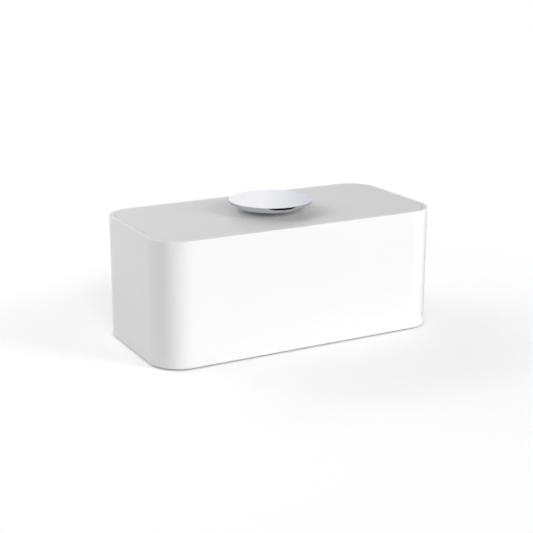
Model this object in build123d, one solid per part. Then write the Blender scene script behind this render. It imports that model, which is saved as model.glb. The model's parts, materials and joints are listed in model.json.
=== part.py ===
from build123d import *
import math
import os

# Cable management box with a flush lift-off lid. A turning knob in the middle of the
# lid works a bar under it, which locks the lid beneath the housing's ledge.
# X runs along the box, the front faces -Y, +Z is up. The origin is on the floor,
# under the middle of the box. All sizes are in millimetres.

# Housing
length = 400.0
depth = 196.0
height = 161.5            # floor to rim
corner_radius = 40.5      # in plan, on the outer face
wall = 3.0
rim_width = 6.2           # flat top of the rim
rim_bevel = 0.2
floor_gap = 2.0           # shadow gap under the lower edge
least_radius = 2.0        # smallest radius that an inner corner keeps
fit_gap = 0.1             # between pieces that are pushed or screwed together
thread_gap = 0.05         # between a screw and its hole

# Ledge that carries the lid
groove = 0.7              # between the rim and the lid
ledge_width = 6.0         # from the rim's inner face
ledge_thickness = 2.8
buffer_margin = 0.5       # between a buffer and the edges of the ledge under the lid
buffer_height = 0.6       # above the ledge
buffer_stem_radius = 1.2
buffer_stem_length = 2.0
buffer_corner_gap = 39.5  # along a long side, from the corner's arc to the buffer's middle
seat_gap = 0.1            # between the buffers and the lid

# Cable outlets in the rear wall
outlet_width = 70.0
outlet_height = 40.0
outlet_corner_gap = 10.5  # from the corner's arc to the grommet
outlet_level = 36.0       # floor to the outlet's middle
grommet_flange = 4.0
grommet_flange_thickness = 1.2
grommet_lining = 1.5

# Base plate, its screws and the feet
base_level = 3.0          # floor to the plate's underside
base_thickness = 3.0
base_gap = 0.3            # between the plate's edge and the walls
base_boss_radius = 4.5
base_boss_roof = 4.0      # above the screw's end
base_boss_bite = 0.6      # how far a boss runs into the wall beside it
boss_outlet_gap = 11.5    # from the grommet to the boss beside it
base_screw_radius = 1.45
base_screw_bite = 10.0    # length in the boss
base_screw_head_radius = 2.75
base_screw_head_height = 1.7
screw_hole_play = 0.4     # round a screw where it passes freely
drive_width = 2.5         # across the flats of a screw's drive
drive_depth = 1.2
foot_radius = 12.0
foot_stem_radius = 4.0
foot_bulb_radius = 5.5
foot_bulb_height = 2.0
foot_bevel = 0.8
rest_rib_count = 5
rest_rib_pitch = 70.0
rest_rib_length = 110.0
rest_rib_width = 3.0
rest_rib_height = 4.0
vent_count = 5            # slots side by side between two ribs
vent_pitch = 12.0
vent_length = 44.0
vent_width = 4.0
tie_slot_length = 22.0
tie_slot_width = 3.5
tie_slot_spread = 80.0    # across the power strip

# Lid
lid_thickness = 4.0       # at the edge
lid_skin = 2.8            # between the ribs
lid_bevel = 0.2
skirt_gap = 0.8           # between the skirt and the ledge
skirt_wall = 2.0
lid_rib_width = 2.0
lid_rib_spacing = 60.0    # between the cross ribs
lid_rib_spread = 90.0     # between the two long ribs
rib_clearance = 0.5       # the ribs end this far above the ledge's underside
hub_boss_wall = 3.7       # outside the stop slot

# Knob above the lid
drum_lift = 6.0           # clear height under the drum
drum_radius = 46.7
drum_height = 5.8
drum_wall = 2.5
drum_floor = 2.0
drum_boss_radius = 11.0
drum_bevel = 1.1
cap_radius = 54.7
cap_thickness = 3.2
cap_bevel = 0.3
cap_ring_wall = 1.5
cap_ring_depth = 1.2
cap_screw_count = 3
cap_boss_gap = 4.5        # from the cap's ring to a screw boss
cap_screw_boss_radius = 4.0
cap_screw_radius = 1.45
cap_screw_roof = 1.1      # left of the cap over a screw's end
cap_screw_head_radius = 2.9
cap_screw_head_height = 1.5

# Spindle and what is on it
spindle_radius = 6.0
square_margin = 0.06      # the square's corners lie this far inside the shaft
spindle_shoulder_radius = 14.0
spindle_running_gap = 0.05
spindle_float = 0.2       # end play over the bush
drum_web_margin = 0.3     # of the drum's web, under the sunk screw head
spindle_screw_radius = 2.45
spindle_screw_bite = 11.0
spindle_screw_head_radius = 4.8
spindle_screw_head_height = 2.3
bush_radius = 9.0
bush_flange_radius = 17.0
bush_flange_height = 1.6
wave_washer_radius = 12.0
wave_washer_slack = 0.1
spindle_washer_radius = 9.0
spindle_washer_thickness = 1.5
nut_width = 13.0          # across the flats
nut_height = 6.5
thread_radius = 4.0
thread_end = 1.5          # below the nut

# Latch bar
bar_gap = 0.6             # under the ledge
bar_tip_gap = 1.5         # to the wall, when it is locked
bar_width = 16.0
bar_thickness = 3.0
bar_hub_radius = 15.0
bar_hub_height = 6.0
bar_spine_width = 4.0
bar_spine_stop = 28.5     # from the bar's tip to the spine's end
lock_turn = 90.0          # degrees from open to locked
lug_radius = 2.0
lug_washer_gap = 4.0      # from the wave washer to the lug
lug_rise = 1.8            # into the lid's stop slot
lug_gap = 0.3

# Levels and insets that follow from the sizes above
lid_bottom = height - lid_thickness
ledge_top = lid_bottom - seat_gap - buffer_height
ledge_bottom = ledge_top - ledge_thickness
rib_level = ledge_bottom + rib_clearance
bar_top = ledge_bottom - bar_gap
hub_bottom = bar_top - bar_hub_height
bar_reach = depth / 2 - wall - bar_tip_gap
lid_inset = rim_width + groove
ledge_inset = rim_width + ledge_width
skirt_inset = ledge_inset + skirt_gap
buffer_inset = (lid_inset + ledge_inset) / 2
buffer_radius = (ledge_width - groove) / 2 - buffer_margin
buffer_x = length / 2 - corner_radius - buffer_corner_gap
grommet_half_width = outlet_width / 2 + grommet_flange
outlet_x = length / 2 - corner_radius - outlet_corner_gap - grommet_half_width
base_top = base_level + base_thickness
base_boss_height = base_screw_bite + base_boss_roof
base_boss_inset = wall + base_boss_radius - base_boss_bite
base_boss_x = outlet_x - grommet_half_width - boss_outlet_gap - base_boss_radius
drum_bottom = height + drum_lift
drum_top = drum_bottom + drum_height
square_seat = drum_height - spindle_screw_head_height - drum_web_margin
cap_ring_radius = drum_radius - drum_wall - fit_gap
cap_screw_orbit = cap_ring_radius - cap_ring_wall - cap_boss_gap - cap_screw_boss_radius
cap_screw_bite = cap_thickness - cap_screw_roof
spindle_sink_bottom = drum_top - fit_gap - spindle_screw_head_height
bush_top = height + bush_flange_height
bush_hole_radius = bush_radius + thread_gap
spindle_square = (spindle_radius - square_margin) * math.sqrt(2)
spindle_washer_bottom = hub_bottom - spindle_washer_thickness
nut_bottom = spindle_washer_bottom - nut_height
wave_washer_top = rib_level - wave_washer_slack
wave_washer_bottom = bar_top + wave_washer_slack
lug_orbit = wave_washer_radius + lug_washer_gap + lug_radius
hub_boss_radius = lug_orbit + lug_radius + lug_gap + hub_boss_wall
bar_spine_length = 2 * (bar_reach - bar_spine_stop)


def block(sketch, low, high):
    """The sketch, raised from one height to another."""
    return Pos(0, 0, low) * extrude(sketch, high - low)


def outline(inset):
    """The housing's plan, moved in from its outer face."""
    radius = max(corner_radius - inset, least_radius)
    return RectangleRounded(length - 2 * inset, depth - 2 * inset, radius)


def disc(radius, low, high):
    return block(Circle(radius), low, high)


def square_bar(width, low, high):
    return block(Rectangle(width, width), low, high)


def cone(low_radius, high_radius, low, high):
    alignment = (Align.CENTER, Align.CENTER, Align.MIN)
    return Pos(0, 0, low) * Cone(low_radius, high_radius, high - low, align=alignment)


def drive(low, high):
    """The hexagon socket that turns a screw."""
    return block(RegularPolygon(drive_width / 2, 6, major_radius=False), low, high)


def four_corners(x, y):
    return [(-x, -y), (x, -y), (-x, y), (x, y)]


def copies(solid, places):
    """The solid, repeated at each place in plan."""
    return [Pos(x, y, 0) * solid for x, y in places]


# Housing and what is fixed to it

def base_screw_places():
    """Beside the walls: one in each corner and two on each long side."""
    diagonal = (corner_radius - base_boss_inset) * math.sin(math.radians(45))
    corner_x = length / 2 - corner_radius + diagonal
    corner_y = depth / 2 - corner_radius + diagonal
    side_y = depth / 2 - base_boss_inset
    return four_corners(corner_x, corner_y) + four_corners(base_boss_x, side_y)


def rear_slot(margin, near, far):
    """The outlet's shape, grown by margin, from one distance behind the middle to another."""
    shape = SlotOverall(outlet_width + 2 * margin, outlet_height + 2 * margin)
    return Pos(0, near, outlet_level) * Rot(-90, 0, 0) * extrude(shape, far - near)


def rear_cut():
    """An outlet through the rear wall, with a rebate for the grommet's outer flange."""
    outer_face = depth / 2
    inner_face = outer_face - wall
    hole = rear_slot(0, inner_face - wall, outer_face + wall)
    rebate_floor = outer_face - grommet_flange_thickness
    rebate = rear_slot(grommet_flange + fit_gap, rebate_floor, outer_face + wall)
    return hole + rebate


def outlet_places():
    return [(-outlet_x, 0), (outlet_x, 0)]


def ledge_buffer_places():
    side_y = depth / 2 - buffer_inset
    end_x = length / 2 - buffer_inset
    return four_corners(buffer_x, side_y) + [(-end_x, 0), (end_x, 0)]


def make_housing():
    housing = block(outline(0), floor_gap, height)
    housing -= block(outline(wall), floor_gap, ledge_bottom)
    housing -= block(outline(ledge_inset), ledge_bottom, ledge_top)
    housing -= block(outline(rim_width), ledge_top, height)
    rim_edges = housing.edges().filter_by_position(Axis.Z, height, height)
    housing = chamfer(rim_edges, rim_bevel)
    boss = disc(base_boss_radius, base_top, base_top + base_boss_height)
    pilot_top = base_top + base_screw_bite + base_screw_radius
    pilot = disc(base_screw_radius + thread_gap, base_top, pilot_top)
    housing += copies(boss, base_screw_places())
    housing -= copies(pilot, base_screw_places())
    stem_hole_floor = ledge_top - buffer_stem_length
    stem_hole = disc(buffer_stem_radius + thread_gap, stem_hole_floor, ledge_top)
    housing -= copies(stem_hole, ledge_buffer_places())
    housing -= copies(rear_cut(), outlet_places())
    return housing


def make_base_plate():
    plate = block(outline(wall + base_gap), base_level, base_top)
    rib_top = base_top + rest_rib_height
    rib = block(Rectangle(rest_rib_width, rest_rib_length), base_top, rib_top)
    middle = (rest_rib_count - 1) / 2
    plate += [Pos((i - middle) * rest_rib_pitch, 0, 0) * rib for i in range(rest_rib_count)]
    vent = block(SlotOverall(vent_length, vent_width), base_level, base_top)
    plate -= copies(vent, vent_places())
    tie_slot = block(SlotOverall(tie_slot_length, tie_slot_width), base_level, base_top)
    tie_x = (middle - 0.5) * rest_rib_pitch
    plate -= copies(tie_slot, four_corners(tie_x, tie_slot_spread / 2))
    clear_radius = base_screw_radius + screw_hole_play
    screw_hole = disc(clear_radius, base_level, base_top)
    sink_radius = base_screw_head_radius + fit_gap
    screw_hole += cone(sink_radius, clear_radius, base_level, base_level + base_screw_head_height)
    plate -= copies(screw_hole, base_screw_places())
    stem_hole = disc(foot_stem_radius + thread_gap, base_level, base_top)
    plate -= copies(stem_hole, foot_places())
    return plate


def vent_places():
    """A block of slots in each bay between two ribs."""
    bays = rest_rib_count - 1
    bay_x = [(i - (bays - 1) / 2) * rest_rib_pitch for i in range(bays)]
    slot_y = [(j - (vent_count - 1) / 2) * vent_pitch for j in range(vent_count)]
    return [(x, y) for x in bay_x for y in slot_y]


def make_base_screws():
    head_top = base_level + base_screw_head_height
    screw = cone(base_screw_head_radius, base_screw_radius, base_level, head_top)
    screw += disc(base_screw_radius, base_level, base_top + base_screw_bite)
    screw -= drive(base_level, base_level + drive_depth)
    return Compound(copies(screw, base_screw_places()))


def foot_places():
    """At the middle of each corner's arc."""
    return four_corners(length / 2 - corner_radius, depth / 2 - corner_radius)


def make_foot():
    foot = disc(foot_radius, 0, base_level)
    ground_edge = foot.edges().filter_by_position(Axis.Z, 0, 0)
    foot = chamfer(ground_edge, foot_bevel)
    foot += disc(foot_stem_radius, base_level, base_top)
    foot += cone(foot_bulb_radius, foot_stem_radius, base_top, base_top + foot_bulb_height)
    return foot


def make_grommet():
    """A soft channel that lines the outlet and grips both faces of the wall."""
    outer_face = depth / 2
    inner_face = outer_face - wall
    lip_floor = outer_face - grommet_flange_thickness
    grommet = rear_slot(-fit_gap, inner_face, lip_floor)
    grommet += rear_slot(grommet_flange, lip_floor, outer_face)
    grommet += rear_slot(grommet_flange, inner_face - grommet_flange_thickness, inner_face)
    grommet -= rear_slot(-fit_gap - grommet_lining, inner_face - wall, outer_face + wall)
    return grommet


def make_lid_buffer():
    pad = disc(buffer_radius, ledge_top, ledge_top + buffer_height)
    return pad + disc(buffer_stem_radius, ledge_top - buffer_stem_length, ledge_top)


# Lid

def lid_rib_sketch():
    """Cross ribs at an even spacing over the whole lid, and two long ribs."""
    steps = int((length / 2 - skirt_inset) / lid_rib_spacing)
    cross = Rectangle(lid_rib_width, depth)
    ribs = [Pos(i * lid_rib_spacing, 0) * cross for i in range(-steps, steps + 1)]
    long_rib = Rectangle(length, lid_rib_width)
    ribs += [Pos(0, side * lid_rib_spread / 2) * long_rib for side in (-1, 1)]
    return ribs


def stop_slot():
    """The quarter-turn slot over the latch bar's lug."""
    track = CenterArc((0, 0), lug_orbit, 0, -lock_turn)
    slot = SlotArc(track, 2 * (lug_radius + lug_gap))
    return block(slot, rib_level, rib_level + lug_rise + lug_gap)


def make_lid_panel():
    lid = block(outline(lid_inset), lid_bottom, height)
    lid += block(outline(skirt_inset), rib_level, lid_bottom)
    skin_bottom = height - lid_skin
    pocket = block(outline(skirt_inset + skirt_wall), rib_level, skin_bottom)
    lid -= pocket
    for rib in lid_rib_sketch():
        lid += pocket & block(rib, rib_level, skin_bottom)
    top_edges = lid.edges().filter_by_position(Axis.Z, height, height)
    lid = chamfer(top_edges, lid_bevel)
    lid += disc(hub_boss_radius, rib_level, skin_bottom)
    lid -= stop_slot()
    lid -= disc(bush_hole_radius, rib_level, height)
    return lid


def make_spindle_bush():
    bush = disc(bush_radius, rib_level, height)
    bush += disc(bush_flange_radius, height, bush_top)
    bush -= disc(spindle_radius + spindle_running_gap, rib_level, bush_top)
    return bush


# Knob

def cap_screw_places():
    turns = [2 * math.pi * i / cap_screw_count for i in range(cap_screw_count)]
    return [(cap_screw_orbit * math.cos(a), cap_screw_orbit * math.sin(a)) for a in turns]


def make_knob_cap():
    cap_top = drum_top + cap_thickness
    cap = disc(cap_radius, drum_top, cap_top)
    top_edge = cap.edges().filter_by_position(Axis.Z, cap_top, cap_top)
    cap = chamfer(top_edge, cap_bevel)
    ring = disc(cap_ring_radius, drum_top - cap_ring_depth, drum_top)
    ring -= disc(cap_ring_radius - cap_ring_wall, drum_top - cap_ring_depth, drum_top)
    cap += ring
    hole = disc(cap_screw_radius + thread_gap, drum_top, drum_top + cap_screw_bite + fit_gap)
    cap -= copies(hole, cap_screw_places())
    return cap


def make_knob_drum():
    drum = disc(drum_radius, drum_bottom, drum_top)
    lower_edge = drum.edges().filter_by_position(Axis.Z, drum_bottom, drum_bottom)
    drum = chamfer(lower_edge, drum_bevel)
    floor_top = drum_bottom + drum_floor
    drum -= disc(drum_radius - drum_wall, floor_top, drum_top)
    drum += disc(drum_boss_radius, floor_top, drum_top)
    drum += copies(disc(cap_screw_boss_radius, floor_top, drum_top), cap_screw_places())
    drum -= square_bar(spindle_square + 2 * fit_gap, drum_bottom, drum_bottom + square_seat)
    drum -= disc(spindle_screw_radius + fit_gap, drum_bottom, drum_top)
    spindle_sink = spindle_screw_head_radius + 2 * fit_gap
    drum -= cone(spindle_screw_radius + fit_gap, spindle_sink, spindle_sink_bottom, drum_top)
    screw_hole = disc(cap_screw_radius + fit_gap, drum_bottom, drum_top)
    cap_sink = cap_screw_head_radius + fit_gap
    sink_top = drum_bottom + cap_screw_head_height
    screw_hole += cone(cap_sink, cap_screw_radius + fit_gap, drum_bottom, sink_top)
    drum -= copies(screw_hole, cap_screw_places())
    return drum


def make_cap_screws():
    head_top = drum_bottom + cap_screw_head_height
    screw = cone(cap_screw_head_radius, cap_screw_radius, drum_bottom, head_top)
    screw += disc(cap_screw_radius, drum_bottom, drum_top + cap_screw_bite)
    screw -= drive(drum_bottom, drum_bottom + drive_depth)
    return Compound(copies(screw, cap_screw_places()))


def make_knob_spindle():
    """Shoulder under the drum, round shaft in the bush, square and thread below."""
    square_top = drum_bottom + square_seat - fit_gap
    spindle = square_bar(spindle_square, drum_bottom, square_top)
    spindle += disc(spindle_shoulder_radius, bush_top + spindle_float, drum_bottom)
    spindle += disc(spindle_radius, bar_top, bush_top + spindle_float)
    spindle += square_bar(spindle_square, hub_bottom, bar_top)
    spindle += disc(thread_radius, nut_bottom - thread_end, hub_bottom)
    screw_hole_floor = square_top - spindle_screw_bite - spindle_screw_radius
    spindle -= disc(spindle_screw_radius + thread_gap, screw_hole_floor, square_top)
    return spindle


def make_spindle_screw():
    square_top = drum_bottom + square_seat - fit_gap
    head_top = drum_top - fit_gap
    head_radius = spindle_screw_head_radius
    screw = cone(spindle_screw_radius, head_radius, spindle_sink_bottom, head_top)
    screw += disc(spindle_screw_radius, square_top - spindle_screw_bite, head_top)
    screw -= drive(head_top - drive_depth, head_top)
    return screw


def ring_washer(hole_radius, radius, low, high):
    return disc(radius, low, high) - disc(hole_radius, low, high)


def make_wave_washer():
    hole_radius = spindle_radius + fit_gap
    return ring_washer(hole_radius, wave_washer_radius, wave_washer_bottom, wave_washer_top)


def make_latch_bar():
    bar_bottom = bar_top - bar_thickness
    bar = block(SlotOverall(2 * bar_reach, bar_width), bar_bottom, bar_top)
    bar += disc(bar_hub_radius, hub_bottom, bar_top)
    bar += block(Rectangle(bar_spine_length, bar_spine_width), hub_bottom, bar_bottom)
    lug = disc(lug_radius, bar_top, rib_level + lug_rise)
    bar += Pos(lug_orbit, 0, 0) * lug
    bar -= square_bar(spindle_square + 2 * fit_gap, hub_bottom, bar_top)
    return bar


def make_spindle_washer():
    hole_radius = thread_radius + fit_gap
    return ring_washer(hole_radius, spindle_washer_radius, spindle_washer_bottom, hub_bottom)


def make_spindle_nut():
    hexagon = RegularPolygon(nut_width / 2, 6, major_radius=False)
    nut = block(hexagon, nut_bottom, spindle_washer_bottom)
    return nut - disc(thread_radius + thread_gap, nut_bottom, spindle_washer_bottom)


def placed_copies(prefix, solid, place_names, places):
    """One named piece for each place."""
    pairs = zip(place_names, copies(solid, places))
    return {f"{prefix}_{name}": piece for name, piece in pairs}


def make_pieces():
    corners = ["front_left", "front_right", "rear_left", "rear_right"]
    pieces = {
        "housing": make_housing(),
        "base_plate": make_base_plate(),
        "base_screws": make_base_screws(),
        "lid_panel": make_lid_panel(),
        "spindle_bush": make_spindle_bush(),
        "knob_cap": make_knob_cap(),
        "knob_drum": make_knob_drum(),
        "cap_screws": make_cap_screws(),
        "knob_spindle": make_knob_spindle(),
        "spindle_screw": make_spindle_screw(),
        "wave_washer": make_wave_washer(),
        "latch_bar": make_latch_bar(),
        "spindle_washer": make_spindle_washer(),
        "spindle_nut": make_spindle_nut(),
    }
    pieces.update(placed_copies("foot", make_foot(), corners, foot_places()))
    sides = ["left", "right"]
    pieces.update(placed_copies("outlet_grommet", make_grommet(), sides, outlet_places()))
    buffer_names = corners + ["left_end", "right_end"]
    buffers = placed_copies("lid_buffer", make_lid_buffer(), buffer_names, ledge_buffer_places())
    pieces.update(buffers)
    return pieces


os.makedirs("parts", exist_ok=True)
for node, piece in make_pieces().items():
    export_step(piece, f"parts/{node}.step")
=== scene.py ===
import json
import math

import bmesh
import bpy
from mathutils import Euler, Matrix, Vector


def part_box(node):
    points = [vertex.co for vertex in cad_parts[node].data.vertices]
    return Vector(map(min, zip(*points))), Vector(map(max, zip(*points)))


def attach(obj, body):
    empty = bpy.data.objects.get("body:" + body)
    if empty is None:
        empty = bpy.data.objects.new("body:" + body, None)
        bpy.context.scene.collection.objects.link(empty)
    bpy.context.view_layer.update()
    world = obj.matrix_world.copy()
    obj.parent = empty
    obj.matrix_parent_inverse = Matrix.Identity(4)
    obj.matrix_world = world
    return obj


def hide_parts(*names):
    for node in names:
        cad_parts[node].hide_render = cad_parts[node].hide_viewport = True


# The looks of the cable management box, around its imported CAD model. Metres, front -Y, +Z up.
# Order: sizes, mesh tools, material tools, materials, pieces, stage, lights and camera.

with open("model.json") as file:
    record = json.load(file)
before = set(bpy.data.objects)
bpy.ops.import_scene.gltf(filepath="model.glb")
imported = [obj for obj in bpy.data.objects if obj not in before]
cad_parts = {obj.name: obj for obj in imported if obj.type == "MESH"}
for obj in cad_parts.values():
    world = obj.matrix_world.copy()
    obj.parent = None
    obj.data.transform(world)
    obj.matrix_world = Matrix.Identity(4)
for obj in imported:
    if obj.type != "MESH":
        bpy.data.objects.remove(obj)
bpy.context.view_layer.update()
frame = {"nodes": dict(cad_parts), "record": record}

MM = 0.001

# Sizes read from the frame
housing_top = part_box("housing")[1].z
plate_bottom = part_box("base_plate")[0].z
bush_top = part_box("spindle_bush")[1].z
drum_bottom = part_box("knob_drum")[0].z
bar_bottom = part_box("latch_bar")[0].z
spindle_low, spindle_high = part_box("knob_spindle")
wave_low, wave_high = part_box("wave_washer")
nut_low, nut_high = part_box("spindle_nut")

# Sizes of the pieces that are rebuilt here
BASE_THICKNESS = 3.0 * MM
FOOT_STEM = 4.0 * MM
FOOT_BULB = 5.5 * MM
FOOT_HOLLOW = 3.0 * MM
HOLLOW_SLOPE = 0.4 * MM
SOLE_BEVEL = 0.8 * MM
GROOVE_RADII = (5.6 * MM, 8.4 * MM)
GROOVE_MOUTH = 1.0 * MM
GROOVE_FLOOR = 0.6 * MM
GROOVE_DEPTH = 0.5 * MM
BUFFER_STEM = 1.2 * MM
BUFFER_HEIGHT = 0.6 * MM      # above the ledge
SOFT_ROUNDING = 0.3 * MM      # of the corners of feet and buffers
THREAD_RADIUS = 4.0 * MM
THREAD_PITCH = 1.25 * MM
THREAD_DEPTH = 0.6 * MM
THREAD_LEAD = 0.8 * MM
THREAD_GAP = 0.05 * MM
NUT_LEAD = 0.4 * MM
NUT_FACE_SHARE = 0.95         # its flat face, of the width across flats
WAVE_HOLE = 6.1 * MM
WAVE_STOCK = 0.3 * MM
WAVES = 3
SPINDLE_RADIUS = 6.0 * MM
SHOULDER_RADIUS = 14.0 * MM
SHOULDER_BEVEL = 0.3 * MM
SHOULDER_GAP = 0.2 * MM       # over the bush
WAVE_GAP = 0.1 * MM           # under the wave washer
SQUARE_WIDTH = 8.4 * MM
SPINDLE_BORE = 2.5 * MM
SPINDLE_BORE_DEPTH = 13.4 * MM

# Edge radii of the real pieces that keep the shape of the solids, by slot
EDGE_OF_SLOT = {
    "white_shell": 0.15 * MM,
    "white_lid": 0.12 * MM,
    "base_plastic": 0.4 * MM,
    "bar_plastic": 0.4 * MM,
    "acetal": 0.2 * MM,
    "grommet_rubber": 0.35 * MM,
    "polished_metal": 0.12 * MM,
    "zinc_steel": 0.12 * MM,
}
SHARP_ANGLE = math.radians(30)
FLAT_ANGLE = math.radians(0.5)
WELD_DISTANCE = 1e-6


# Mesh tools

def add_piece(name, mesh):
    """An object in the scene with that mesh."""
    piece = bpy.data.objects.new(name, mesh)
    bpy.context.scene.collection.objects.link(piece)
    return piece


def finish_piece(piece, material, body, *nodes):
    """Shading, the material, the body that it rides on and the CAD nodes that it stands for."""
    piece.data.shade_smooth()
    piece.data.materials.clear()
    piece.data.materials.append(material)
    normals = piece.modifiers.new("Normals", "WEIGHTED_NORMAL")
    normals.keep_sharp = True
    normals.weight = 50
    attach(piece, body)
    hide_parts(*nodes)
    return piece


def softened(node, body, material, edge):
    """A CAD piece with the edge radii of the real one."""
    mesh = frame["nodes"][node].data.copy()
    tool = bmesh.new()
    tool.from_mesh(mesh)
    bmesh.ops.remove_doubles(tool, verts=tool.verts, dist=WELD_DISTANCE)
    bmesh.ops.dissolve_limit(tool, angle_limit=FLAT_ANGLE, verts=tool.verts, edges=tool.edges)
    tool.to_mesh(mesh)
    tool.free()
    piece = add_piece(f"{node}_finished", mesh)
    bevel = piece.modifiers.new("Edges", "BEVEL")
    bevel.width = edge
    bevel.segments = 3
    bevel.limit_method = "ANGLE"
    bevel.angle_limit = SHARP_ANGLE
    bevel.harden_normals = True
    return finish_piece(piece, material, body, node)


def fillet(points, radius, steps=4):
    """A closed outline with each corner rounded, except on the axis, where the radius is 0."""
    rounded = []
    count = len(points)
    for i, corner in enumerate(points):
        here = Vector(corner)
        before = Vector(points[i - 1]) - here
        after = Vector(points[(i + 1) % count]) - here
        if here.x <= 0:
            rounded.append(here)
            continue
        half = before.angle(after) / 2
        reach = min(radius / math.tan(half), before.length * 0.45, after.length * 0.45)
        start = here + before.normalized() * reach
        end = here + after.normalized() * reach
        for step in range(steps + 1):
            t = step / steps
            rounded.append(start * (1 - t) ** 2 + here * (2 * t * (1 - t)) + end * t ** 2)
    return rounded


def turned(name, outline_at, centre=(0, 0), segments=192):
    """A solid round an upright axis; outline_at(angle) is its closed outline, as (radius, height)."""
    tool = bmesh.new()
    rows = []
    for i in range(segments):
        angle = 2 * math.pi * i / segments
        across, along = math.cos(angle), math.sin(angle)
        row = [(centre[0] + r * across, centre[1] + r * along, z) for r, z in outline_at(angle)]
        rows.append([tool.verts.new(place) for place in row])
    for near, far in zip(rows, rows[1:] + rows[:1]):
        for i, corner in enumerate(near):
            j = (i + 1) % len(near)
            tool.faces.new((corner, near[j], far[j], far[i]))
    bmesh.ops.remove_doubles(tool, verts=tool.verts, dist=WELD_DISTANCE)
    bmesh.ops.recalc_face_normals(tool, faces=tool.faces)
    mesh = bpy.data.meshes.new(name)
    tool.to_mesh(mesh)
    tool.free()
    mesh.set_sharp_from_angle(angle=SHARP_ANGLE)
    return add_piece(name, mesh)


# Material tools

class Shader:
    """A material's node tree, with one short call for each kind of node used here."""

    def __init__(self, name):
        known = bpy.data.materials.get(name)    # the CAD nodes of a slot already wear it
        self.material = known or bpy.data.materials.new(name)
        self.material.use_nodes = True
        self.nodes = self.material.node_tree.nodes
        self.links = self.material.node_tree.links
        self.nodes.clear()
        self.place = self.add("ShaderNodeTexCoord").outputs["Object"]

    def add(self, kind, settings=(), **inputs):
        node = self.nodes.new(kind)
        for key, value in dict(settings).items():
            setattr(node, key, value)
        for key, value in inputs.items():
            self.set(node, key.replace("_", " "), value)
        return node

    def set(self, node, key, value):
        socket = node.inputs[key]
        if isinstance(value, bpy.types.NodeSocket):
            self.links.new(value, socket)
        else:
            socket.default_value = value

    def math(self, operation, first, second=0.0):
        node = self.add("ShaderNodeMath", {"operation": operation})
        self.set(node, 0, first)
        self.set(node, 1, second)
        return node.outputs[0]

    def vector_math(self, operation, first, second, output="Vector"):
        node = self.add("ShaderNodeVectorMath", {"operation": operation})
        self.set(node, 0, first)
        self.set(node, 1, second)
        return node.outputs[output]

    def noise(self, size, detail=2.0, stretch=(1, 1, 1)):
        """Noise with features of about that size in metres, from 0 to 1."""
        scaled = self.vector_math("MULTIPLY", self.place, stretch)
        return self.add("ShaderNodeTexNoise", Vector=scaled, Scale=1 / size, Detail=detail).outputs[0]

    def lines(self, across, size, detail):
        """Noise along one value, with lines of about that size in metres."""
        settings = {"noise_dimensions": "1D"}
        node = self.add("ShaderNodeTexNoise", settings, W=across, Scale=1 / size, Detail=detail)
        return node.outputs[0]

    def span(self, value, from_low, from_high, to_low, to_high):
        node = self.add("ShaderNodeMapRange", Value=value)
        for key, number in zip((1, 2, 3, 4), (from_low, from_high, to_low, to_high)):
            self.set(node, key, number)
        return node.outputs[0]

    def mix(self, share, first, second):
        node = self.add("ShaderNodeMix", {"data_type": "RGBA"})
        self.set(node, 0, share)
        self.set(node, 6, first)
        self.set(node, 7, second)
        return node.outputs[2]

    def edges(self, width):
        """1 on the edges of the piece, 0 away from them."""
        soft = self.add("ShaderNodeBevel", {"samples": 4}, Radius=width).outputs[0]
        sharp = self.add("ShaderNodeNewGeometry").outputs["Normal"]
        return self.span(self.vector_math("DOT_PRODUCT", soft, sharp, "Value"), 1.0, 0.92, 0.0, 1.0)

    def crevice_shade(self, reach):
        """1 in tight corners, 0 in the open: the mask for painted shade in crevices."""
        open_share = self.add("ShaderNodeAmbientOcclusion", {"samples": 4}, Distance=reach).outputs["AO"]
        return self.span(open_share, 0.7, 0.1, 0.0, 1.0)

    def bump(self, height, depth):
        return self.add("ShaderNodeBump", Strength=1.0, Distance=depth, Height=height).outputs[0]

    def finish(self, **inputs):
        shader = self.add("ShaderNodeBsdfPrincipled")
        for key, value in inputs.items():
            self.set(shader, key.replace("_", " "), value)
        self.add("ShaderNodeOutputMaterial", Surface=shader.outputs[0])
        return self.material


def grey(level, warmth=0.0):
    """A linear grey; a warmth above 0 leans to red, one below 0 to blue."""
    return (level * (1 + warmth), level, level * (1 - warmth), 1)


# Materials, one for each slot of the record

def moulded_plastic(name, colour, dark, light, roughness, grain, depth, shine=0.5):
    """Moulded plastic: faint flow marks, a fine spark grain, painted shade in its crevices, and
    smoother, paler edges.
    """
    shader = Shader(name)
    flow = shader.noise(70 * MM, 2.0, (0.4, 0.4, 1.0))
    cloud = shader.noise(6 * MM, 3.0)
    fine = shader.noise(grain, 3.0)
    edge = shader.edges(0.5 * MM)
    base = shader.mix(shader.span(flow, 0.35, 0.65, 0.0, 1.0), dark, colour)
    # Painted shade: the colour darkens towards the dark grey in tight corners and crevices.
    base = shader.mix(shader.math("MULTIPLY", shader.crevice_shade(4 * MM), 0.25), base, dark)
    base = shader.mix(shader.math("MULTIPLY", edge, 0.6), base, light)
    rough = shader.span(cloud, 0.0, 1.0, roughness - 0.03, roughness + 0.03)
    rough = shader.math("SUBTRACT", rough, shader.math("MULTIPLY", edge, 0.08))
    normal = shader.bump(fine, depth)
    return shader.finish(Base_Color=base, Roughness=rough, Normal=normal, Specular_IOR_Level=shine)


def rubber(name, colour, scuff, roughness, grain):
    """Matt elastomer with a dusty bloom and scuffed edges."""
    shader = Shader(name)
    cloud = shader.noise(5 * MM, 4.0)
    fine = shader.noise(grain, 2.0)
    edge = shader.edges(0.7 * MM)
    base = shader.mix(shader.span(cloud, 0.4, 0.75, 0.0, 0.5), colour, scuff)
    base = shader.mix(shader.math("MULTIPLY", edge, shader.span(fine, 0.3, 0.7, 0.2, 1.0)), base, scuff)
    rough = shader.span(cloud, 0.3, 0.7, roughness - 0.08, roughness + 0.05)
    normal = shader.bump(fine, 0.03 * MM)
    return shader.finish(Base_Color=base, Roughness=rough, Normal=normal)


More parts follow.
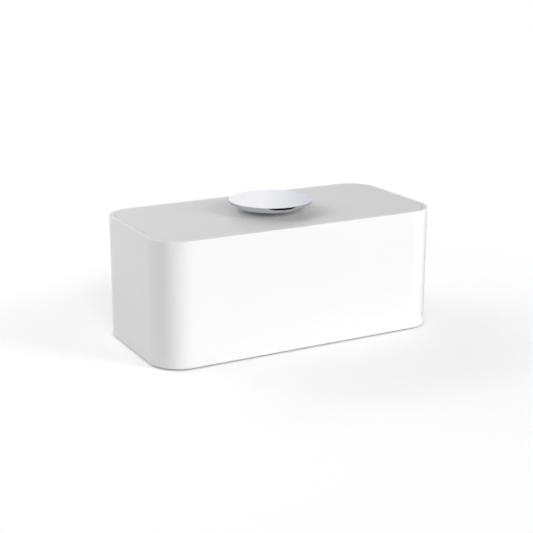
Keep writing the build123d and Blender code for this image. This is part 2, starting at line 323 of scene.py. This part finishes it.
def polished_metal(name):
    """Polished disc and drum: a clear mirror with hair-fine turning lines and a few polishing marks."""
    shader = Shader(name)
    flat = shader.vector_math("MULTIPLY", shader.place, (1, 1, 0))
    radius = shader.vector_math("LENGTH", flat, (0, 0, 0), "Value")
    height = shader.add("ShaderNodeSeparateXYZ", Vector=shader.place).outputs[2]
    across = shader.math("ADD", radius, height)
    lines = shader.lines(across, 0.4 * MM, 3.0)
    smudge = shader.noise(14 * MM, 4.0)
    edge = shader.edges(0.5 * MM)
    dull = (0.541, 0.546, 0.563, 1)
    clear = (0.553, 0.558, 0.575, 1)
    rubbed = (0.7, 0.705, 0.72, 1)
    base = shader.mix(shader.span(smudge, 0.35, 0.7, 0.0, 1.0), dull, clear)
    base = shader.mix(shader.math("MULTIPLY", edge, 0.5), base, rubbed)
    rough = shader.span(smudge, 0.2, 0.8, 0.045, 0.06)
    normal = shader.bump(lines, 0.0012 * MM)
    return shader.finish(Base_Color=base, Metallic=1.0, Roughness=rough, Normal=normal)


def machined_steel(name, colour, stain, roughness, line_size):
    """Turned or plated steel: fine lines round the axis, mottling and bright rubbed edges."""
    shader = Shader(name)
    height = shader.add("ShaderNodeSeparateXYZ", Vector=shader.place).outputs[2]
    lines = shader.lines(height, line_size, 2.0)
    mottle = shader.noise(2.2 * MM, 4.0)
    edge = shader.edges(0.3 * MM)
    base = shader.mix(shader.span(mottle, 0.35, 0.7, 0.0, 0.8), colour, stain)
    base = shader.mix(shader.math("MULTIPLY", edge, 0.7), base, grey(0.78))
    rough = shader.span(mottle, 0.3, 0.7, roughness - 0.06, roughness + 0.08)
    normal = shader.bump(lines, 0.004 * MM)
    return shader.finish(Base_Color=base, Metallic=1.0, Roughness=rough, Normal=normal)


materials = {
    "white_shell": moulded_plastic(
        "white_shell", grey(0.88), grey(0.873, 0.002), grey(0.89),
        roughness=0.3, grain=0.5 * MM, depth=0.002 * MM),
    "white_lid": moulded_plastic(
        "white_lid", grey(0.867), grey(0.859, 0.002), grey(0.89),
        roughness=0.4, grain=0.6 * MM, depth=0.004 * MM, shine=0.45),
    "base_plastic": moulded_plastic(
        "base_plastic", grey(0.62), grey(0.58, 0.01), grey(0.68),
        roughness=0.5, grain=0.7 * MM, depth=0.02 * MM),
    "bar_plastic": moulded_plastic(
        "bar_plastic", grey(0.075), grey(0.05), grey(0.16),
        roughness=0.48, grain=0.4 * MM, depth=0.02 * MM),
    "acetal": moulded_plastic(
        "acetal", grey(0.74, 0.02), grey(0.7, 0.03), grey(0.8, 0.01),
        roughness=0.3, grain=0.3 * MM, depth=0.004 * MM),
    "grommet_rubber": rubber(
        "grommet_rubber", grey(0.15), grey(0.22), roughness=0.7, grain=0.4 * MM),
    "foot_rubber": rubber(
        "foot_rubber", grey(0.02), grey(0.07), roughness=0.75, grain=0.35 * MM),
    "buffer_silicone": rubber(
        "buffer_silicone", grey(0.55), grey(0.66), roughness=0.45, grain=0.3 * MM),
    "polished_metal": polished_metal("polished_metal"),
    "turned_steel": machined_steel(
        "turned_steel", grey(0.5), grey(0.4, 0.02), roughness=0.28, line_size=0.12 * MM),
    "zinc_steel": machined_steel(
        "zinc_steel", grey(0.58, 0.02), grey(0.48, -0.03), roughness=0.32, line_size=0.25 * MM),
}


# Pieces

def make_foot(node):
    """Push-in foot: a sole with two grooves and a hollow middle, a stem and a barbed bulb."""
    low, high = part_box(node)
    radius = (high.x - low.x) / 2
    plate_top = plate_bottom + BASE_THICKNESS
    outline = [(0, GROOVE_DEPTH), (FOOT_HOLLOW - HOLLOW_SLOPE, GROOVE_DEPTH), (FOOT_HOLLOW, 0)]
    for middle in GROOVE_RADII:
        outline += [(middle - GROOVE_MOUTH / 2, 0), (middle - GROOVE_FLOOR / 2, GROOVE_DEPTH)]
        outline += [(middle + GROOVE_FLOOR / 2, GROOVE_DEPTH), (middle + GROOVE_MOUTH / 2, 0)]
    outline += [
        (radius - SOLE_BEVEL, 0),
        (radius, SOLE_BEVEL),
        (radius, plate_bottom),
        (FOOT_STEM, plate_bottom),
        (FOOT_STEM, plate_top),
        (FOOT_BULB, plate_top),
        (FOOT_STEM, high.z),
        (0, high.z),
    ]
    points = fillet(outline, SOFT_ROUNDING)
    middle = ((low.x + high.x) / 2, (low.y + high.y) / 2)
    return turned(f"{node}_finished", lambda angle: points, middle, 128)


def make_buffer(node):
    """Small button with a rounded pad, pressed into the ledge by its stem."""
    low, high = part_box(node)
    radius = (high.x - low.x) / 2
    ledge = high.z - BUFFER_HEIGHT
    outline = [
        (0, low.z),
        (BUFFER_STEM, low.z),
        (BUFFER_STEM, ledge),
        (radius, ledge),
        (radius, high.z),
        (0, high.z),
    ]
    points = fillet(outline, SOFT_ROUNDING)
    middle = ((low.x + high.x) / 2, (low.y + high.y) / 2)
    return turned(f"{node}_finished", lambda angle: points, middle, 64)


def make_nut():
    """Hexagon nut with both ends chamfered and a chamfered bore."""
    flat = nut_high.y
    plain = flat * NUT_FACE_SHARE
    bore = THREAD_RADIUS + THREAD_GAP

    def outline_at(angle):
        side = flat / math.cos(angle % math.radians(60) - math.radians(30))
        drop = (side - plain) * math.tan(math.radians(30))
        return [
            (bore, nut_low.z + NUT_LEAD),
            (bore + NUT_LEAD, nut_low.z),
            (plain, nut_low.z),
            (side, nut_low.z + drop),
            (side, nut_high.z - drop),
            (plain, nut_high.z),
            (bore + NUT_LEAD, nut_high.z),
            (bore, nut_high.z - NUT_LEAD),
        ]

    return turned("spindle_nut_finished", outline_at, segments=96)


def make_wave_washer():
    """Spring washer of thin stock with three waves."""
    rise = (wave_high.z - wave_low.z - WAVE_STOCK) / 2
    middle = (wave_high.z + wave_low.z) / 2

    def outline_at(angle):
        height = middle + rise * math.cos(WAVES * angle)
        low, high = height - WAVE_STOCK / 2, height + WAVE_STOCK / 2
        return [(WAVE_HOLE, low), (wave_high.x, low), (wave_high.x, high), (WAVE_HOLE, high)]

    return turned("wave_washer_finished", outline_at)


def make_spindle():
    """Stepped shaft: rolled thread, square for the bar, bearing, shoulder, square for the drum."""
    bar_top = wave_low.z - WAVE_GAP
    shoulder_low = bush_top + SHOULDER_GAP
    steps_a_turn = 8
    rings = round((bar_bottom - spindle_low.z) / THREAD_PITCH * steps_a_turn)
    levels = [spindle_low.z + (bar_bottom - spindle_low.z) * i / rings for i in range(rings + 1)]
    bore_floor = spindle_high.z - SPINDLE_BORE_DEPTH
    shoulder_face = SHOULDER_RADIUS - SHOULDER_BEVEL

    def thread_radius(angle, height):
        turn = height / THREAD_PITCH - angle / (2 * math.pi)
        depth = THREAD_DEPTH * abs(2 * (turn % 1) - 1)
        lead = max(0, THREAD_LEAD - (height - spindle_low.z))
        return THREAD_RADIUS - max(depth, lead)

    def outline_at(angle):
        square = SQUARE_WIDTH / 2 / max(abs(math.cos(angle)), abs(math.sin(angle)))
        thread = [(thread_radius(angle, height), height) for height in levels]
        shaft = [(square, bar_bottom), (square, bar_top), (SPINDLE_RADIUS, bar_top)]
        shaft += [(SPINDLE_RADIUS, shoulder_low), (shoulder_face, shoulder_low)]
        shoulder = [(SHOULDER_RADIUS, shoulder_low + SHOULDER_BEVEL)]
        shoulder += [(SHOULDER_RADIUS, drum_bottom - SHOULDER_BEVEL)]
        shoulder += [(shoulder_face, drum_bottom), (square, drum_bottom)]
        top = [(square, spindle_high.z), (SPINDLE_BORE, spindle_high.z)]
        bore = [(SPINDLE_BORE, bore_floor), (0, bore_floor)]
        return [(0, spindle_low.z)] + thread + shaft + shoulder + top + bore

    return turned("knob_spindle_finished", outline_at)


# Stage

FLOOR_REACH = 40.0
FLOOR_WHITE = 0.82
SHADOW_LIFT = 0.292           # glow that the camera sees added, dimmed near the box into a painted shadow
SHADOW_REACH = 250 * MM
CONTACT_LIFT = 0.16           # the same, dimmed under its lower edge into a painted contact shadow
CONTACT_REACH = 7 * MM
FLOOR_CENTRE = (-0.18, -0.14, 0)    # the floor runs out into white round it
FLOOR_NEAR = 0.35
FLOOR_FAR = 0.8
AMBIENT = 0.06
FLAG_HEIGHT = 2 * MM          # of the dark cards, over the floor
CAMERA_PLACE = (-0.72624, -1.35039, 0.52456)
CAMERA_TILT = math.radians(73.98)
CAMERA_TURN = math.radians(-28.075)
CAMERA_LENS = 81.1
CAMERA_SENSOR = 36.0
box_middle = Vector((0, 0, housing_top / 2))


def make_floor():
    """A white floor that keeps the soft shadow of the lamps, adds a painted shadow by dimming its glow
    near the box, and runs out into the white background.
    """
    mesh = bpy.data.meshes.new("floor")
    corners = [(x * FLOOR_REACH, y * FLOOR_REACH, 0) for x, y in ((-1, -1), (1, -1), (1, 1), (-1, 1))]
    mesh.from_pydata(corners, [], [(0, 1, 2, 3)])
    floor = add_piece("floor", mesh)
    shader = Shader("floor_white")
    rays = shader.add("ShaderNodeLightPath").outputs
    seen = shader.math("MAXIMUM", rays["Is Camera Ray"], rays["Is Glossy Ray"])
    seen = shader.math("MAXIMUM", seen, rays["Is Transmission Ray"])
    distance = shader.vector_math("DISTANCE", shader.place, FLOOR_CENTRE, "Value")
    far = shader.span(distance, FLOOR_NEAR, FLOOR_FAR, 0.0, 1.0)
    matt = shader.add("ShaderNodeBsdfDiffuse", Color=grey(FLOOR_WHITE))
    lift = 0.0
    # Painted shadow: occlusion dims the floor's glow near the box and under its lower edge.
    for reach, strength in ((SHADOW_REACH, SHADOW_LIFT), (CONTACT_REACH, CONTACT_LIFT)):
        opening = shader.add("ShaderNodeAmbientOcclusion", {"samples": 8}, Distance=reach)
        share = shader.math("MULTIPLY", opening.outputs["AO"], strength)
        lift = shader.math("ADD", share, lift)
    lift = shader.math("MULTIPLY", seen, lift)
    glow = shader.add("ShaderNodeEmission", Color=grey(1.0), Strength=lift)
    lit = shader.add("ShaderNodeAddShader")
    shader.set(lit, 0, matt.outputs[0])
    shader.set(lit, 1, glow.outputs[0])
    white = shader.add("ShaderNodeEmission", Color=grey(1.0), Strength=1.0)
    blend = shader.add("ShaderNodeMixShader")
    shader.set(blend, 0, shader.math("MULTIPLY", seen, far))
    shader.set(blend, 1, lit.outputs[0])
    shader.set(blend, 2, white.outputs[0])
    shader.add("ShaderNodeOutputMaterial", Surface=blend.outputs[0])
    floor.data.materials.append(shader.material)


def direction(azimuth, elevation):
    """Unit vector towards a place round the box; azimuth 0 is in front, 90 is to the right."""
    a, e = math.radians(azimuth), math.radians(elevation)
    return Vector((math.sin(a) * math.cos(e), -math.cos(a) * math.cos(e), math.sin(e)))


def add_softbox(name, azimuth, elevation, distance, size, radiance):
    """A lit panel that faces the box and that mirrors don't see."""
    width, height = size
    light = bpy.data.lights.new(name, "AREA")
    light.shape = "RECTANGLE"
    light.size = width
    light.size_y = height
    light.energy = radiance * math.pi * width * height
    lamp = bpy.data.objects.new(name, light)
    lamp.location = box_middle + direction(azimuth, elevation) * distance
    lamp.rotation_euler = (box_middle - lamp.location).to_track_quat("-Z", "Y").to_euler()
    lamp.visible_camera = False
    lamp.visible_glossy = False
    bpy.context.scene.collection.objects.link(lamp)


def add_card(name, corners, left, right, blend=(0.0, 1.0)):
    """A card that only mirror-like surfaces see; its glow changes from left to right over the blend."""
    mesh = bpy.data.meshes.new(name)
    mesh.from_pydata(corners, [], [(0, 1, 2, 3)])
    card = add_piece(name, mesh)
    shader = Shader(name)
    across = shader.add("ShaderNodeTexCoord").outputs["Generated"]
    share = shader.add("ShaderNodeSeparateXYZ", Vector=across).outputs[0]
    glow = shader.mix(shader.span(share, *blend, 0.0, 1.0), left, right)
    emission = shader.add("ShaderNodeEmission", Color=glow)
    shader.add("ShaderNodeOutputMaterial", Surface=emission.outputs[0])
    card.data.materials.append(shader.material)
    card.visible_camera = False
    card.visible_diffuse = False
    card.visible_shadow = False
    card.visible_transmission = False


def level_card(low_x, high_x, low_y, high_y, height):
    """Corners of a level card, from left to right along the near side first."""
    corners = ((low_x, low_y), (high_x, low_y), (high_x, high_y), (low_x, high_y))
    return [(x, y, height) for x, y in corners]


def ring_sector(azimuth_from, azimuth_to, near, far, height):
    """Corners of a level card round the knob, between two azimuths and two distances."""
    places = ((azimuth_from, near), (azimuth_to, near), (azimuth_to, far), (azimuth_from, far))
    return [direction(azimuth, 0) * distance + Vector((0, 0, height)) for azimuth, distance in places]


def upright_card(azimuth, distance, left, right, low, high):
    """Corners of an upright card that faces the knob."""
    middle = direction(azimuth, 0) * distance
    side = direction(azimuth - 90, 0)
    corners = ((left, low), (right, low), (right, high), (left, high))
    return [middle + side * s + Vector((0, 0, z)) for s, z in corners]


def make_world():
    """An even, plain light, seen as white by the camera and in mirrors and glass."""
    world = bpy.data.worlds.new("studio")
    bpy.context.scene.world = world
    world.use_nodes = True
    nodes = world.node_tree.nodes
    links = world.node_tree.links
    nodes.clear()
    rays = nodes.new("ShaderNodeLightPath").outputs
    seen = rays["Is Camera Ray"]
    for kind in ("Is Glossy Ray", "Is Transmission Ray"):
        either = nodes.new("ShaderNodeMath")
        either.operation = "MAXIMUM"
        links.new(seen, either.inputs[0])
        links.new(rays[kind], either.inputs[1])
        seen = either.outputs[0]
    ambient = nodes.new("ShaderNodeBackground")
    ambient.inputs["Strength"].default_value = AMBIENT
    ambient.inputs["Color"].default_value = grey(1.0)
    white = nodes.new("ShaderNodeBackground")
    white.inputs["Strength"].default_value = 1.0
    white.inputs["Color"].default_value = grey(1.0)
    blend = nodes.new("ShaderNodeMixShader")
    links.new(seen, blend.inputs[0])
    links.new(ambient.outputs[0], blend.inputs[1])
    links.new(white.outputs[0], blend.inputs[2])
    output = nodes.new("ShaderNodeOutputWorld")
    links.new(blend.outputs[0], output.inputs["Surface"])


def make_camera():
    """The photo's view, fitted to the edges of the box."""
    data = bpy.data.cameras.new("camera")
    data.lens = CAMERA_LENS
    data.sensor_width = CAMERA_SENSOR
    camera = bpy.data.objects.new("camera", data)
    camera.location = CAMERA_PLACE
    camera.rotation_euler = Euler((CAMERA_TILT, 0, CAMERA_TURN))
    bpy.context.scene.collection.objects.link(camera)
    bpy.context.scene.camera = camera


def make_lights():
    """Large soft panels, and the cards that only the polished knob and the gloss of the plastic see."""
    make_world()
    add_softbox("front_left", azimuth=-20, elevation=22, distance=5.0, size=(2.4, 2.8), radiance=4.4)
    add_softbox("front_right", azimuth=42, elevation=22, distance=5.0, size=(2.0, 2.8), radiance=6.6)
    add_softbox("front_right_low", azimuth=42, elevation=5, distance=5.0, size=(2.0, 1.1), radiance=10.1)
    add_softbox("left", azimuth=-120, elevation=30, distance=1.6, size=(1.0, 0.85), radiance=2.3)
    add_softbox("back_left", azimuth=-150, elevation=30, distance=2.5, size=(1.5, 1.3), radiance=2.45)
    add_softbox("back", azimuth=180, elevation=30, distance=2.5, size=(1.2, 1.2), radiance=1.6)
    behind = upright_card(azimuth=152, distance=3.0, left=-0.9, right=0.2, low=0.62, high=1.15)
    overhead = level_card(low_x=-0.9, high_x=0.9, low_y=-1.0, high_y=0.6, height=2.0)
    front = ring_sector(azimuth_from=-34, azimuth_to=50, near=0.5, far=1.2, height=FLAG_HEIGHT)
    beside = level_card(low_x=0.205, high_x=0.95, low_y=-0.1, high_y=0.8, height=FLAG_HEIGHT)
    add_card("back_card", behind, (1.295, 1.29, 1.31, 1), (0.945, 0.955, 1.0, 1), blend=(0.805, 0.97))
    add_card("overhead_card", overhead, grey(1.65), grey(1.45), blend=(0.44, 0.56))
    add_card("front_flag", front, grey(0.01), grey(0.01))
    add_card("right_flag", beside, grey(0.0), grey(0.0))


body_of = {n: b for b, ns in frame["record"]["behaviour"]["bodies"].items() for n in ns}
slot_of = {part["node"]: part["material_slot"] for part in frame["record"]["subparts"]}

maker_of = {"spindle_nut": make_nut, "wave_washer": make_wave_washer, "knob_spindle": make_spindle}
for node in sorted(frame["nodes"]):
    slot = slot_of[node]
    material = materials[slot]
    if node in maker_of:
        finish_piece(maker_of[node](), material, body_of[node], node)
    elif node.startswith("foot_"):
        finish_piece(make_foot(node), material, body_of[node], node)
    elif node.startswith("lid_buffer_"):
        finish_piece(make_buffer(node), material, body_of[node], node)
    else:
        softened(node, body_of[node], material, EDGE_OF_SLOT[slot])

make_floor()
make_lights()
make_camera()
bpy.context.scene.view_settings.view_transform = "Standard"
